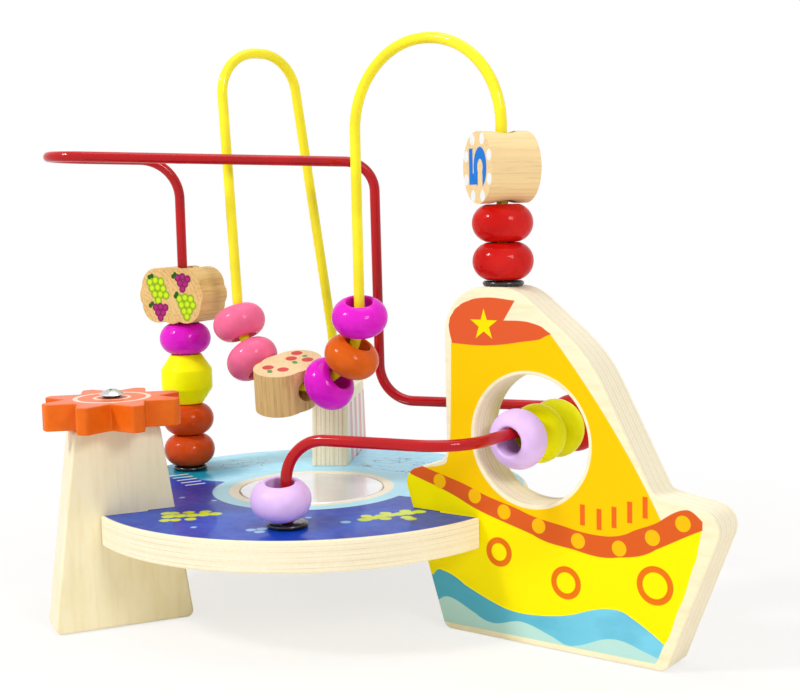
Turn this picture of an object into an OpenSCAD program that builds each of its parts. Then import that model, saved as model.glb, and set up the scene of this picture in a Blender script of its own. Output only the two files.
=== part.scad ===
// Bead maze: a round plywood platform on three upright panels that slot into it, two bent
// wires with threaded beads and blocks, and a turning gear. Millimetres, +Z up, table at Z = 0.
// The modules draw round the platform's axis; each node is then moved so that the origin is the
// middle of the boat panel's foot.

/* [Platform] */
// Diameter of the round platform
platform_d = 199; // [180:1:215]
// Plywood thickness of the platform
platform_t = 13; // [9:0.5:18]
// Height of the platform's upper face above the table
platform_h = 50; // [40:1:60]
// Radius at which the slots of platform and plain panels meet
lap_r = 78.5; // [75:0.5:84]
// Corner rounding at the mouths of the platform's slots
mouth_round = 1.5; // [0.5:0.5:6]
// Diameter of the mirror let into the platform
mirror_d = 65.6; // [50:0.2:72]
// Thickness of the mirror
mirror_t = 2; // [1:0.5:4]

/* [Plain panels] */
// Plywood thickness of the three panels
panel_t = 18; // [14:0.5:22]
// Rounding of the panels' lower corners
foot_round = 4; // [1:0.5:8]
// Middle radius of the gear panel
gear_panel_r = 90; // [86:1:95]
// Width of the gear panel at the table
gear_panel_foot = 61; // [50:1:70]
// Width of the gear panel at its top
gear_panel_top = 37; // [30:1:45]
// Height of the gear panel
gear_panel_h = 87.4; // [80:0.2:95]
// Middle radius of the tower panel
tower_r = 84; // [78:1:90]
// Width of the tower panel at the table
tower_foot = 82; // [70:1:90]
// Width of the tower panel at its top
tower_top = 57; // [48:1:66]
// Height of the tower panel
tower_h = 86; // [78:1:94]

/* [Boat panel] */
// Distance of the porthole's middle beyond the strand that runs through it
porthole_ahead = 8.5; // [6:0.5:10]
// Height of the porthole's middle
porthole_h = 84.4; // [82:0.2:87]
// Diameter of the porthole
porthole_d = 53; // [50:0.5:56]
// Chamfer round the porthole's edges
porthole_chamfer = 1; // [0.5:0.1:1.5]
// From the porthole's middle back to the hull's inner side at the table
hull_back = 42.8; // [38:0.2:46]
// From the porthole's middle out to the hull's outer side at the table
hull_ahead = 59; // [50:1:68]
// From the porthole's middle back to the stern tip
stern_back = 63.5; // [57:0.5:70]
// Height of the stern tip
stern_h = 65.3; // [63:0.1:68]
// From the porthole's middle out to the bow tip
bow_ahead = 83.5; // [72:0.5:92]
// Height of the bow tip
bow_h = 62.8; // [56:0.2:66]
// From the porthole's middle back to the cabin's upright side
cabin_back = 40.5; // [39:0.5:43]
// Height of the stern deck at the cabin
deck_in_h = 73.1; // [70:0.1:80]
// Height of the cabin roof
cabin_h = 145.5; // [142:0.5:155]
// From the porthole's middle back to the end of the level roof
roof_back = 6; // [1:0.5:7]
// From the porthole's middle out to the knee in the cabin's sloping front
knee_ahead = 27; // [22:0.5:32]
// Height of the knee in the cabin's sloping front
knee_h = 119.4; // [115:0.2:124]
// Rounding of the knee
knee_round = 60; // [40:1:64]
// From the porthole's middle out to where the cabin's slope meets the deck
slope_ahead = 54; // [49:0.5:59]
// Height of the deck at the cabin's slope
slope_h = 67.6; // [66:0.1:72]
// From the porthole's middle back to where the slots of platform and boat panel meet
lap_back = 44.5; // [40:0.5:48]

/* [Gear] */
// Diameter over the gear's teeth
gear_d = 61; // [56:1:72]
// Thickness of the gear
gear_t = 11.5; // [8:0.5:16]
// Number of teeth
gear_teeth = 8; // [6:1:10]
// Depth of the notches between the gear's teeth
valley_depth = 10.5; // [8:0.5:12]
// Width of the notches at the teeth's tips
valley_w = 18.6; // [16:0.2:20]
// Angle at which the gear stands
gear_turn = 24.2; // [0:0.1:45]
// Shank diameter of the gear's screw
screw_d = 4; // [3:0.5:5]
// Head diameter of the gear's screw
screw_head_d = 11; // [9:0.2:12]
// Head height of the gear's screw
screw_head_h = 2.4; // [2:0.2:4]
// Diameter of the washer under the screw head
washer_d = 8; // [7:0.2:14]
// Thickness of the washer
washer_t = 1; // [0.8:0.1:2]
// Depth of the screw in the panel
screw_bite = 22; // [15:1:30]

/* [Wires] */
// Diameter of both wires
wire_d = 4.8; // [4:0.1:5.4]
// Depth of the wire ends in the wood
wire_seat = 11; // [6:0.5:12]
// Outer diameter of the ferrules
ferrule_d = 17; // [14:0.5:20]
// Height of the ferrules
ferrule_h = 2.2; // [1.5:0.1:4]
// Left post, position across the platform
post_x = -81.5; // [-84:0.5:-78]
// Left post, position along the platform
post_y = 2.7; // [-4:0.1:8]
// Front post, position across the platform
front_x = 40.6; // [37:0.2:44]
// Front post, position along the platform
front_y = -63.1; // [-66:0.2:-60]
// Height of the red wire's upper bends
red_top_h = 202.5; // [197:0.5:206]
// Height of the strand through the porthole above the porthole's middle
strand_lift = 2.1; // [0:0.1:4]
// Radius of the strand through the porthole
strand_r = 114.5; // [112:0.5:118]
// From the porthole's middle back to the mast wire on the boat's roof
mast_back = 17; // [14:0.5:20]
// Straight mast wire above the number block, below the front arch
arch_rise = 3.1; // [2:0.1:12]
// Height of the back arch above the front arch
back_rise = 4; // [0:0.5:10]
// Radius of the yellow wire's inner leg
inner_leg = 30.8; // [28:0.2:34]
// Position of the yellow wire's outer leg at the dip
outer_leg = -40.7; // [-43:0.1:-38]
// How far the outer leg leans outwards up to the back arch
leg_spread = 8.1; // [6:0.1:11]
// Height of the yellow wire's lowest point
dip_h = 97; // [95:0.5:104]
// Radius of the tower's wire end
tower_wire_r = 70.5; // [66:0.5:76]

/* [Beads] */
// Diameter of the round beads
bead_d = 25; // [22:0.5:26]
// Radius of the round beads' edge
bead_edge = 7.9; // [7:0.1:8.3]
// Diameter of the bores in beads and blocks
bead_bore = 11.6; // [10.6:0.2:12]
// Rounding of the bore mouths
bead_lip = 0.9; // [0.5:0.1:1.2]
// Height of the barrel bead
barrel_h = 24.4; // [20:0.2:28]
// Diameter of the barrel bead's end faces
barrel_end = 15; // [14:0.2:18]
// Height of the barrel bead's middle band
barrel_band = 9.4; // [6:0.2:12]
// Width of the berry block
berry_w = 38; // [34:0.5:42]
// Height of the berry block
berry_h = 27.5; // [25:0.5:30]
// Thickness of the berry block
berry_t = 20; // [18:0.5:24]
// Width of the cherry block
cherry_w = 36; // [32:0.5:40]
// Length of the cherry block along its bore
cherry_l = 25; // [20:0.5:28]
// Thickness of the cherry block
cherry_t = 20; // [18:0.5:22]
// Lean of the beads that sit loosest on their wires
bead_lean = 20; // [0:1:22]
// Diameter of the number block
number_d = 29; // [26:0.5:32]
// Thickness of the number block
number_t = 21.5; // [19:0.5:24]

/* [Fits] */
// Clearance between platform and panels in their slots
slot_fit = 0.15; // [0.1:0.05:0.3]
// Clearance round the mirror
mirror_fit = 0.2; // [0.1:0.05:0.4]
// Clearance round wire ends and screw in their holes
seat_fit = 0.05; // [0.03:0.01:0.1]
// Clearance between moving pieces
run_gap = 0.3; // [0.25:0.05:0.5]

/* [Hidden] */
$fn = 64;
big = 400;
platform_r = platform_d / 2;
under_h = platform_h - platform_t;
hole_d = wire_d + 2 * seat_fit;
porthole_r = strand_r + porthole_ahead;
hull_in = porthole_r - hull_back;
hull_out = porthole_r + hull_ahead;
stern_r = porthole_r - stern_back;
bow_r = porthole_r + bow_ahead;
cabin_in = porthole_r - cabin_back;
roof_out = porthole_r - roof_back;
knee_r = porthole_r + knee_ahead;
slope_r = porthole_r + slope_ahead;
boat_lap = porthole_r - lap_back;
mast_r = porthole_r - mast_back;
boat_at = 0;
tower_at = 120;
gear_at = 240;
gear_axis = [gear_panel_r * cos(gear_at), gear_panel_r * sin(gear_at)];
gear_z = gear_panel_h + run_gap;
washer_z = gear_z + gear_t + run_gap;
gear_bore = screw_d + 2 * run_gap;

// Straight wire and bends overlap by seam_in, and the bends are thicker by seam.
seam = 0.03;
seam_in = 0.5;

// Round beads: the edge is a torus that runs into rounded bore mouths.
bore_r = bead_bore / 2;
edge_c = bead_d / 2 - bead_edge;
lip_z = sqrt(pow(bead_edge - bead_lip, 2) - pow(bore_r + bead_lip - edge_c, 2));
lip_x = edge_c + bead_edge * (bore_r + bead_lip - edge_c) / (bead_edge - bead_lip);
bead_half = lip_z + bead_lip;
pitch = 2 * bead_half + run_gap;
// Beads hang on their wires by the slack in the bore.
hang = bore_r - wire_d / 2 - run_gap;
dip_bend = (inner_leg - outer_leg) / 2 + 0.25;
dip_hang = hang - seam - pow(bead_half, 2) / (2 * dip_bend);

// Stack heights on the left post, the mast and the front post.
post_z1 = platform_h + ferrule_h + run_gap + bead_half;
post_z2 = post_z1 + pitch;
post_z3 = post_z2 + bead_half + run_gap + barrel_h / 2;
post_z4 = post_z3 + barrel_h / 2 + run_gap + bead_half;
post_z5 = post_z4 + bead_half + run_gap + berry_h / 2;
mast_z1 = cabin_h + ferrule_h + run_gap + bead_half;
mast_z2 = mast_z1 + pitch;
mast_z3 = mast_z2 + bead_half + run_gap + number_d / 2;
front_slack = 2.4;
front_lean = bead_lean / 2;
front_rise = (bore_r + 2 * bead_lip) * sin(front_lean);

// Wire routes: corner points and the bend radius at each inner corner.
strand_h = porthole_h + strand_lift;
tower_x = tower_wire_r * cos(tower_at);
tower_y = tower_wire_r * sin(tower_at);
outer_top = outer_leg - leg_spread;
arch_bend = (mast_r - inner_leg) / 2 - 0.6;
arch_h = mast_z3 + number_d / 2 + arch_rise + arch_bend;
back_h = arch_h + back_rise;
yellow_path = [[mast_r, 0, cabin_h - wire_seat], [mast_r, 0, arch_h], [inner_leg, 0, arch_h],
    [inner_leg, 0, dip_h], [outer_leg, 0, dip_h], [outer_top, 0, back_h], [-38.9, 38.9, back_h],
    [tower_x, tower_y, tower_h + 26], [tower_x, tower_y, tower_h - wire_seat]];
yellow_bends = [arch_bend, arch_bend, dip_bend, dip_bend, 20, 20, 80];
red_path = [[post_x, post_y, platform_h - wire_seat], [post_x, post_y, red_top_h],
    [-120, -42, red_top_h + 2], [-95, -68, red_top_h + 2], [10, 40, red_top_h - 3.5],
    [11, 39.5, strand_h], [strand_r, 67, strand_h], [strand_r, -46, strand_h],
    [front_x, front_y, strand_h], [front_x, front_y, platform_h - wire_seat]];
red_bends = [19, 18, 18, 14, 17, 14, 22, 18];

// The dip in the yellow wire: middle of its two bends, and the beads' angles from its lowest point.
dip_z = dip_h + dip_bend;
dip_in = inner_leg - dip_bend;
leg_lean = atan2(outer_leg - outer_top, back_h - dip_h);
dip_out = outer_leg + dip_bend * tan((90 - leg_lean) / 2);
dip_1 = 89;
dip_5 = -81;
dip_step = 2 * asin((bead_edge + run_gap / 2 + 0.08) / (dip_bend - edge_c));
dip_2 = dip_1 - dip_step;
dip_3 = dip_2 - dip_step;
dip_4 = dip_5 + dip_step;
cherry_angle = -9;
cherry_roll = 12;

// Beads on the strand through the porthole, front to back.
strand_y = -4;

function unit(v) = v / norm(v);
function turned(a, b) = acos(max(-1, min(1, unit(a) * unit(b))));
function side_of(u) = unit(cross(abs(u[2]) < 0.9 ? [0, 0, 1] : [1, 0, 0], u));

// Frame with columns x, y, z at p.
function frame(x, y, z, p) = [[x[0], y[0], z[0], p[0]], [x[1], y[1], z[1], p[1]],
    [x[2], y[2], z[2], p[2]], [0, 0, 0, 1]];

// Straight wire from a to b.
module rod(a, b) {
    u = unit(b - a);
    s = side_of(u);
    multmatrix(frame(s, cross(u, s), u, a)) cylinder(d = wire_d, h = norm(b - a));
}

// Bend of radius r at corner p, arriving along u and leaving along v. It is a hair thicker than the
// straight wire, whose end reaches a little way into it.
module elbow(p, u, v, r) {
    w = unit(v - (v * u) * u);
    c = p - u * r * tan(turned(u, v) / 2) + w * r;
    multmatrix(frame(-w, u, cross(u, w), c))
        rotate_extrude(angle = turned(u, v)) translate([r, 0]) circle(d = wire_d + 2 * seam);
}

// Wire along corner points with a bend at each inner corner.
module bent_wire(path, bends) {
    last = len(path) - 1;
    dir = [for (i = [0 : last - 1]) unit(path[i + 1] - path[i])];
    cut = [for (i = [0 : last]) i == 0 || i == last ? 0 :
        bends[i - 1] * tan(turned(dir[i - 1], dir[i]) / 2) - seam_in];
    for (i = [0 : last - 1]) rod(path[i] + dir[i] * cut[i], path[i + 1] - dir[i] * cut[i + 1]);
    for (i = [1 : last - 1]) elbow(path[i], dir[i - 1], dir[i], bends[i - 1]);
}

// Polygon whose corners [x, y, radius] are rounded: outward corners gain an arc, inward ones lose one.
module rounded(corners) {
    n = len(corners);
    at = [for (c = corners) [c[0], c[1]]];
    into = [for (i = [0 : n - 1]) unit(at[i] - at[(i + n - 1) % n])];
    away = [for (i = [0 : n - 1]) unit(at[(i + 1) % n] - at[i])];
    cut = [for (i = [0 : n - 1]) corners[i][2] * tan(turned(into[i], away[i]) / 2)];
    left = [for (i = [0 : n - 1]) into[i][0] * away[i][1] - into[i][1] * away[i][0] > 0];
    mid = [for (i = [0 : n - 1]) at[i] - into[i] * cut[i]
        + (left[i] ? 1 : -1) * corners[i][2] * [-into[i][1], into[i][0]]];
    start = [for (i = [0 : n - 1]) at[i] - into[i] * cut[i]];
    end = [for (i = [0 : n - 1]) at[i] + away[i] * cut[i]];
    difference() {
        union() {
            polygon([for (i = [0 : n - 1]) each [start[i], end[i]]]);
            for (i = [0 : n - 1]) if (left[i]) corner(mid[i], corners[i][2], start[i], end[i]);
        }
        for (i = [0 : n - 1]) if (!left[i]) corner(mid[i], corners[i][2], start[i], end[i]);
    }
}

// Slice of a disc between two points of its edge. A hair less than the full radius keeps the arc
// clear of the sides that it runs into.
module corner(mid, r, a, b) {
    intersection() {
        translate(mid) circle(r - seam, $fn = 128);
        polygon([mid, mid + 2.5 * (a - mid), mid + 2.5 * (b - mid)]);
    }
}

// Upright panel at an angle round the platform, drawn as radius and height, with its lap slot.
module panel(at, inner, lap) {
    rotate(at) rotate([90, 0, 0]) translate([0, 0, -panel_t / 2]) linear_extrude(panel_t)
        difference() {
            children();
            translate([inner - 20, under_h])
                square([lap + slot_fit - inner + 20, platform_t + 2 * slot_fit]);
        }
}

// Blind hole for a wire end, straight down from a face at height z.
module wire_hole(x, y, z) {
    translate([x, y, z - wire_seat - run_gap]) cylinder(d = hole_d, h = wire_seat + run_gap + 10);
}

module trapezoid(mid, foot, top, h) {
    rounded([[mid - foot / 2, 0, foot_round], [mid + foot / 2, 0, foot_round],
        [mid + top / 2, h, foot_round / 2], [mid - top / 2, h, foot_round / 2]]);
}

module platform() {
    w = panel_t / 2 + slot_fit;
    rim_x = sqrt(pow(platform_r - mouth_round, 2) - pow(w + mouth_round, 2));
    color("burlywood") difference() {
        translate([0, 0, under_h]) cylinder(r = platform_r, h = platform_t, $fn = 128);
        for (p = [[boat_at, boat_lap], [tower_at, lap_r], [gear_at, lap_r]]) rotate(p[0]) {
            translate([p[1], -w, 0]) cube([big, 2 * w, big]);
            for (s = [-1, 1]) scale([1, s, 1]) difference() {
                translate([rim_x, w - 1, 0]) cube([big, mouth_round + 1, big]);
                translate([rim_x, w + mouth_round, -1]) cylinder(r = mouth_round, h = big + 2);
            }
        }
        translate([0, 0, platform_h - mirror_t]) cylinder(d = mirror_d + 2 * mirror_fit, h = big, $fn = 96);
        wire_hole(post_x, post_y, platform_h);
        wire_hole(front_x, front_y, platform_h);
    }
}

module mirror_disc() {
    color("silver") translate([0, 0, platform_h - mirror_t]) cylinder(d = mirror_d, h = mirror_t, $fn = 96);
}

module gear_panel() {
    color("wheat") difference() {
        panel(gear_at, gear_panel_r - gear_panel_foot / 2, lap_r)
            trapezoid(gear_panel_r, gear_panel_foot, gear_panel_top, gear_panel_h);
        translate([gear_axis[0], gear_axis[1], gear_panel_h - screw_bite])
            cylinder(d = screw_d + 2 * seat_fit, h = screw_bite + 10);
    }
}

module tower_panel() {
    color("wheat") difference() {
        panel(tower_at, tower_r - tower_foot / 2, lap_r)
            trapezoid(tower_r, tower_foot, tower_top, tower_h);
        wire_hole(tower_x, tower_y, tower_h);
    }
}

module boat_panel() {
    color("gold") difference() {
        panel(boat_at, stern_r, boat_lap) rounded([[hull_in, 0, foot_round], [hull_out, 0, foot_round],
            [bow_r, bow_h, 8], [slope_r, slope_h, 6], [knee_r, knee_h, knee_round], [roof_out, cabin_h, 20],
            [cabin_in, cabin_h, 20], [cabin_in, deck_in_h, 6], [stern_r, stern_h, 7]]);
        translate([porthole_r, 0, porthole_h]) rotate([90, 0, 0]) {
            cylinder(d = porthole_d, h = big, center = true, $fn = 96);
            for (s = [-1, 1]) scale([1, 1, s]) translate([0, 0, panel_t / 2 - porthole_chamfer])
                cylinder(d1 = porthole_d, d2 = porthole_d + 4 * porthole_chamfer, h = 2 * porthole_chamfer);
        }
        wire_hole(mast_r, 0, cabin_h);
    }
}

module gear() {
    foot = gear_d / 2 - valley_depth;
    flank = valley_w / 2 / (sqrt(pow(gear_d / 2, 2) - pow(valley_w / 2, 2)) - foot);
    color("darkorange") translate([gear_axis[0], gear_axis[1], gear_z]) rotate(gear_turn) difference() {
        cylinder(d = gear_d, h = gear_t);
        for (i = [0 : gear_teeth - 1]) rotate((i + 0.5) * 360 / gear_teeth) translate([foot, 0, -1])
            linear_extrude(gear_t + 2) polygon([[0, 0], [gear_d, -gear_d * flank], [gear_d, gear_d * flank]]);
        translate([0, 0, -1]) cylinder(d = gear_bore, h = gear_t + 2);
    }
}

module gear_washer() {
    color("dimgray") translate([gear_axis[0], gear_axis[1], washer_z]) difference() {
        cylinder(d = washer_d, h = washer_t);
        translate([0, 0, -1]) cylinder(d = screw_d + 2 * seat_fit, h = washer_t + 2);
    }
}

// Round-headed wood screw with a cross recess.
module gear_screw() {
    head_z = washer_z + washer_t;
    dome = (pow(screw_head_d / 2, 2) + pow(screw_head_h, 2)) / (2 * screw_head_h);
    color("silver") translate([gear_axis[0], gear_axis[1], head_z]) difference() {
        union() {
            rotate_extrude() intersection() {
                translate([0, screw_head_h - dome]) circle(dome, $fn = 96);
                square([screw_head_d, screw_head_h + 1]);
            }
            translate([0, 0, gear_panel_h - screw_bite - head_z])
                cylinder(d = screw_d, h = head_z - gear_panel_h + screw_bite + 1);
        }
        for (a = [0, 90]) rotate(a) translate([-2, -0.5, screw_head_h - 1.4]) cube([4, 1, 3]);
    }
}

module red_wire() {
    color("crimson") bent_wire(red_path, red_bends);
}

module yellow_wire() {
    color("yellow") bent_wire(yellow_path, yellow_bends);
}

// Ring with a rounded outer edge round a wire where it enters the wood.
module ferrule(x, y, z) {
    soft = ferrule_h / 2;
    color("black") translate([x, y, z]) rotate_extrude() {
        translate([hole_d / 2, 0]) square([ferrule_d / 2 - soft - hole_d / 2, ferrule_h]);
        translate([ferrule_d / 2 - soft, soft]) circle(soft);
    }
}

// Round bead with its bore along Z.
module bead(paint) {
    color(paint) rotate_extrude() {
        intersection() {
            translate([edge_c, 0]) circle(bead_edge);
            translate([lip_x, -bead_d]) square([bead_d, 2 * bead_d]);
        }
        translate([bore_r, -lip_z]) square([lip_x - bore_r, 2 * lip_z]);
        for (s = [-1, 1]) translate([bore_r + bead_lip, s * lip_z]) circle(bead_lip);
    }
}

// Barrel bead with coned ends, bore along Z.
module barrel(paint) {
    cone_h = (barrel_h - barrel_band) / 2;
    color(paint) rotate_extrude() polygon([[bore_r, -barrel_h / 2], [barrel_end / 2, -barrel_h / 2],
        [bead_d / 2, -barrel_h / 2 + cone_h], [bead_d / 2, barrel_h / 2 - cone_h],
        [barrel_end / 2, barrel_h / 2], [bore_r, barrel_h / 2]]);
}

// Bead on the dip of the yellow wire at an angle from its lowest point, bore along the wire.
module on_dip(a) {
    translate([(a > 0 ? dip_in : dip_out) + dip_bend * sin(a), 0, dip_z - dip_bend * cos(a) - dip_hang])
        rotate([0, 90 - a, 0]) children();
}

// Bead on the strand through the porthole, counted from the front.
module on_strand(i) {
    translate([strand_r, strand_y + i * pitch, strand_h - hang]) rotate([90, 0, 0]) children();
}

// Scalloped block with its bore along Z and its faces across Y.
module berry_block() {
    lobe = berry_h / 4;
    bulge = berry_h / 3;
    x = berry_w / 2;
    z = berry_h / 2;
    color("tan") translate([post_x, post_y, post_z5]) rotate(8) difference() {
        rotate([90, 0, 0]) linear_extrude(berry_t, center = true) {
            circle(bulge);
            for (p = [[0, z - lobe], [0, lobe - z], [x - lobe, 0], [lobe - x, 0]]) translate(p) circle(lobe);
            for (sx = [-1, 1], sz = [-1, 1])
                translate([sx * (x - bulge - 1.4), sz * (z - bulge - 0.4)]) circle(bulge);
        }
        cylinder(d = bead_bore, h = big, center = true);
    }
}

// Two-lobed block that hangs across the dip, its bore along the wire.
module cherry_block() {
    lobe = 0.9 * cherry_l / 2;
    color("tan") translate([dip_out + (dip_bend - 0.4) * sin(cherry_angle), 0,
        dip_z - (dip_bend - 0.4) * cos(cherry_angle)])
        rotate([0, -cherry_angle, 0]) rotate([cherry_roll, 0, 0]) difference() {
            linear_extrude(cherry_t, center = true) {
                circle(d = cherry_l);
                for (s = [-1, 1]) translate([0, s * (cherry_w / 2 - lobe)]) circle(lobe);
            }
            rotate([0, 90, 0]) cylinder(d = bead_bore, h = big, center = true);
        }
}

// Round slice with its faces to the front left, bore along Z.
module number_block() {
    color("tan") translate([mast_r, 0, mast_z3]) rotate(-33) difference() {
        rotate([90, 0, 0]) cylinder(d = number_d, h = number_t, center = true);
        cylinder(d = bead_bore, h = big, center = true);
    }
}

// From the platform's axis to the middle of the boat panel's foot.
module placed() {
    translate([-(hull_in + hull_out) / 2, 0, 0]) children();
}

// Leans a bead off its wire, towards an angle in plan.
module leaning(lean, toward) {
    rotate(a = lean, v = [-sin(toward), cos(toward), 0]) children();
}

module on_post(z) {
    translate([post_x, post_y, z]) children();
}

// The bead at the foot of the front post leans off its wire by the slack in the bore.
module on_front() {
    translate([front_x - 0.75 * front_slack, front_y - 0.66 * front_slack,
        platform_h + ferrule_h + run_gap + bead_half + front_rise]) children();
}

module on_mast(z) {
    translate([mast_r, 0, z]) children();
}

module dip_bead_magenta_high() {
    on_dip(dip_1) leaning(bead_lean, -53) bead("mediumvioletred");
}

module dip_bead_pink_high() {
    on_dip(dip_5) leaning(0.7 * bead_lean, 180) bead("hotpink");
}

module front_bead_lilac() {
    on_front() leaning(front_lean, -53) bead("plum");
}

placed() platform();
placed() mirror_disc();  // mirror
placed() gear_panel();
placed() boat_panel();
placed() tower_panel();
placed() gear();
placed() gear_screw();
placed() gear_washer();
placed() red_wire();
placed() yellow_wire();
placed() ferrule(post_x, post_y, platform_h);  // post_ferrule
placed() ferrule(front_x, front_y, platform_h);  // front_ferrule
placed() ferrule(mast_r, 0, cabin_h);  // mast_ferrule
placed() ferrule(tower_x, tower_y, tower_h);  // tower_ferrule
placed() on_post(post_z1) bead("chocolate");  // post_bead_orange_low
placed() on_post(post_z2) bead("chocolate");  // post_bead_orange_high
placed() on_post(post_z3) barrel("gold");  // post_barrel_yellow
placed() on_post(post_z4) bead("mediumvioletred");  // post_bead_magenta
placed() berry_block();
placed() on_mast(mast_z1) bead("red");  // mast_bead_red_low
placed() on_mast(mast_z2) bead("red");  // mast_bead_red_high
placed() number_block();
placed() dip_bead_magenta_high();
placed() on_dip(dip_2) bead("chocolate");  // dip_bead_orange
placed() on_dip(dip_3) bead("mediumvioletred");  // dip_bead_magenta_low
placed() cherry_block();
placed() on_dip(dip_4) bead("hotpink");  // dip_bead_pink_low
placed() dip_bead_pink_high();
placed() front_bead_lilac();
placed() on_strand(0) bead("plum");  // strand_bead_lilac
placed() on_strand(1) bead("gold");  // strand_bead_yellow_front
placed() on_strand(2) bead("gold");  // strand_bead_yellow_back
placed() on_strand(3) bead("red");  // strand_bead_red
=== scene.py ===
"""Looks of the wooden bead maze: turned beads, bent coated wires, cut plywood panels and their prints.

Lengths are millimetres round the platform's axis; placed() gives metres in the row frame.
"""
import math
from functools import reduce

import bpy
from mathutils import Matrix, Vector


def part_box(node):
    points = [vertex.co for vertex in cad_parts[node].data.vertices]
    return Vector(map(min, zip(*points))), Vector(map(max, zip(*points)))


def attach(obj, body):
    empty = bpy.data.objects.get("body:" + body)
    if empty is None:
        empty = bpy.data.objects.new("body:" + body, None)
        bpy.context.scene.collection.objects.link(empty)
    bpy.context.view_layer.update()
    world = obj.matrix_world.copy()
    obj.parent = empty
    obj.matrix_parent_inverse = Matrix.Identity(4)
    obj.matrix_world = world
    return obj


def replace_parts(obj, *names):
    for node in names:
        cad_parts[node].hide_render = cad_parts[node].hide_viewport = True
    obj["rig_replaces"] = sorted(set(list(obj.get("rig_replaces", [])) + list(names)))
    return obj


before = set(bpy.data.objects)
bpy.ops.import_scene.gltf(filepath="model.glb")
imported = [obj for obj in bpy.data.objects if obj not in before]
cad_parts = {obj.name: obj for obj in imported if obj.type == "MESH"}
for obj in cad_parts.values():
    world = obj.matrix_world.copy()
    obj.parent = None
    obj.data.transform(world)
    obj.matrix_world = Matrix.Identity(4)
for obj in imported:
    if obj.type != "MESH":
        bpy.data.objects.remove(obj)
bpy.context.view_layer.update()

MM = 0.001
# Where the platform's axis stands in the row frame
AXIS_X = -131.1

# The body that stays still, and the sizes and places that shapes and finishes share
STAND = "stand"
PANEL_THICK = 18.0
BOAT_TURN, TOWER_TURN, GEAR_PANEL_TURN = 0, 120, 240
BOAT_HOLE, BOAT_HOLE_RADIUS = (123, 84.4), 26.5
PLATFORM_RADIUS, PLATFORM_THICK, PLATFORM_MIDDLE = 99.5, 13.0, 43.5
PLATFORM_TOP = PLATFORM_MIDDLE + PLATFORM_THICK / 2
LAP = 78.5
RECESS_RADIUS = 33.1
GEAR_SPOT, GEAR_MIDDLE, GEAR_THICK = (-45, -77.942), 93.45, 11.5
GEAR_TOP = GEAR_MIDDLE + GEAR_THICK / 2
POST, FRONT, MAST, TOWER = (-81.5, 2.7), (40.6, -63.1), (106, 0), (-35.25, 61.05)
CABIN_TOP, TOWER_TOP = 145.5, 86
WIRE_RADIUS, BORE_RADIUS = 2.4, 5.8
BLOCK_THICK, NUMBER_THICK = 20, 21.5
BERRY_SPOT, BERRY_TURN = (*POST, 137.32), 8
NUMBER_SPOT, NUMBER_TURN = (*MAST, 193.41), -33
CHERRY_SPOT, CHERRY_TURNS = (-12.10, 0, 97.84), ((12, "X"), (9, "Y"))
# How far a print reaches below its face
PRINT_SKIN = 0.4

CAMERA_SPOT = (402.3, -468.68, 181.68)
CAMERA_TURN, CAMERA_TILT, CAMERA_ROLL = 36.7215, 6.2147, -1.2989
CAMERA_LENS = 61.06


def placed(x, y, z):
    return Vector(((x + AXIS_X) * MM, y * MM, z * MM))


def around(centre, *turns):
    """A place for a piece: turned about X, Y or Z in the order given, then moved to its centre."""
    place = Matrix.Translation(centre)
    for degrees, axis in reversed(turns):
        place = place @ Matrix.Rotation(math.radians(degrees), 4, axis)
    return place


def aim_camera():
    turn, tilt, roll = (math.radians(a) for a in (CAMERA_TURN, CAMERA_TILT, CAMERA_ROLL))
    back = Vector((math.sin(turn) * math.cos(tilt), -math.cos(turn) * math.cos(tilt), math.sin(tilt)))
    right = Vector((math.cos(turn), math.sin(turn), 0))
    up = back.cross(right)
    side = right * math.cos(roll) + up * math.sin(roll)
    top = up * math.cos(roll) - right * math.sin(roll)
    bpy.ops.object.camera_add()
    camera = bpy.context.object
    axes = Matrix((side, top, back)).transposed().to_4x4()
    camera.matrix_world = Matrix.Translation(placed(*CAMERA_SPOT)) @ axes
    camera.data.sensor_width = 36
    camera.data.lens = CAMERA_LENS
    bpy.context.scene.camera = camera


aim_camera()


# Shader values and finishes

def tint(red, green, blue):
    """A screen colour as the shader's linear colour."""
    parts = [c / 255 for c in (red, green, blue)]
    return tuple(c / 12.92 if c < 0.04045 else ((c + 0.055) / 1.055) ** 2.4 for c in parts) + (1.0,)


def toned(colour, share, lift=0.0):
    """A colour made darker or lighter by a share."""
    return tuple(min(1, c * share + lift) for c in colour[:3]) + (1,)


def set_stops(ramp, stops):
    """A smooth ramp through grey stops of (place, brightness), the first at 0 and the last at 1."""
    ramp.interpolation = "CARDINAL"
    for element, (_, brightness) in zip(ramp.elements, (stops[0], stops[-1])):
        element.color = (brightness,) * 3 + (1,)
    for place, brightness in stops[1:-1]:
        ramp.elements.new(place).color = (brightness,) * 3 + (1,)


class Value:
    """One shader value; arithmetic on it adds Math nodes."""

    def __init__(self, nodes, socket):
        self.nodes, self.socket = nodes, socket

    def __add__(self, other):
        return self.nodes.math("ADD", self, other)

    def __sub__(self, other):
        return self.nodes.math("SUBTRACT", self, other)

    def __rsub__(self, other):
        return self.nodes.math("SUBTRACT", other, self)

    def __mul__(self, other):
        return self.nodes.math("MULTIPLY", self, other)

    def __truediv__(self, other):
        return self.nodes.math("DIVIDE", self, other)

    def __rtruediv__(self, other):
        return self.nodes.math("DIVIDE", other, self)

    def __neg__(self):
        return self.nodes.math("MULTIPLY", self, -1.0)

    def __abs__(self):
        return self.nodes.math("ABSOLUTE", self)

    __radd__ = __add__
    __rmul__ = __mul__


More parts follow.
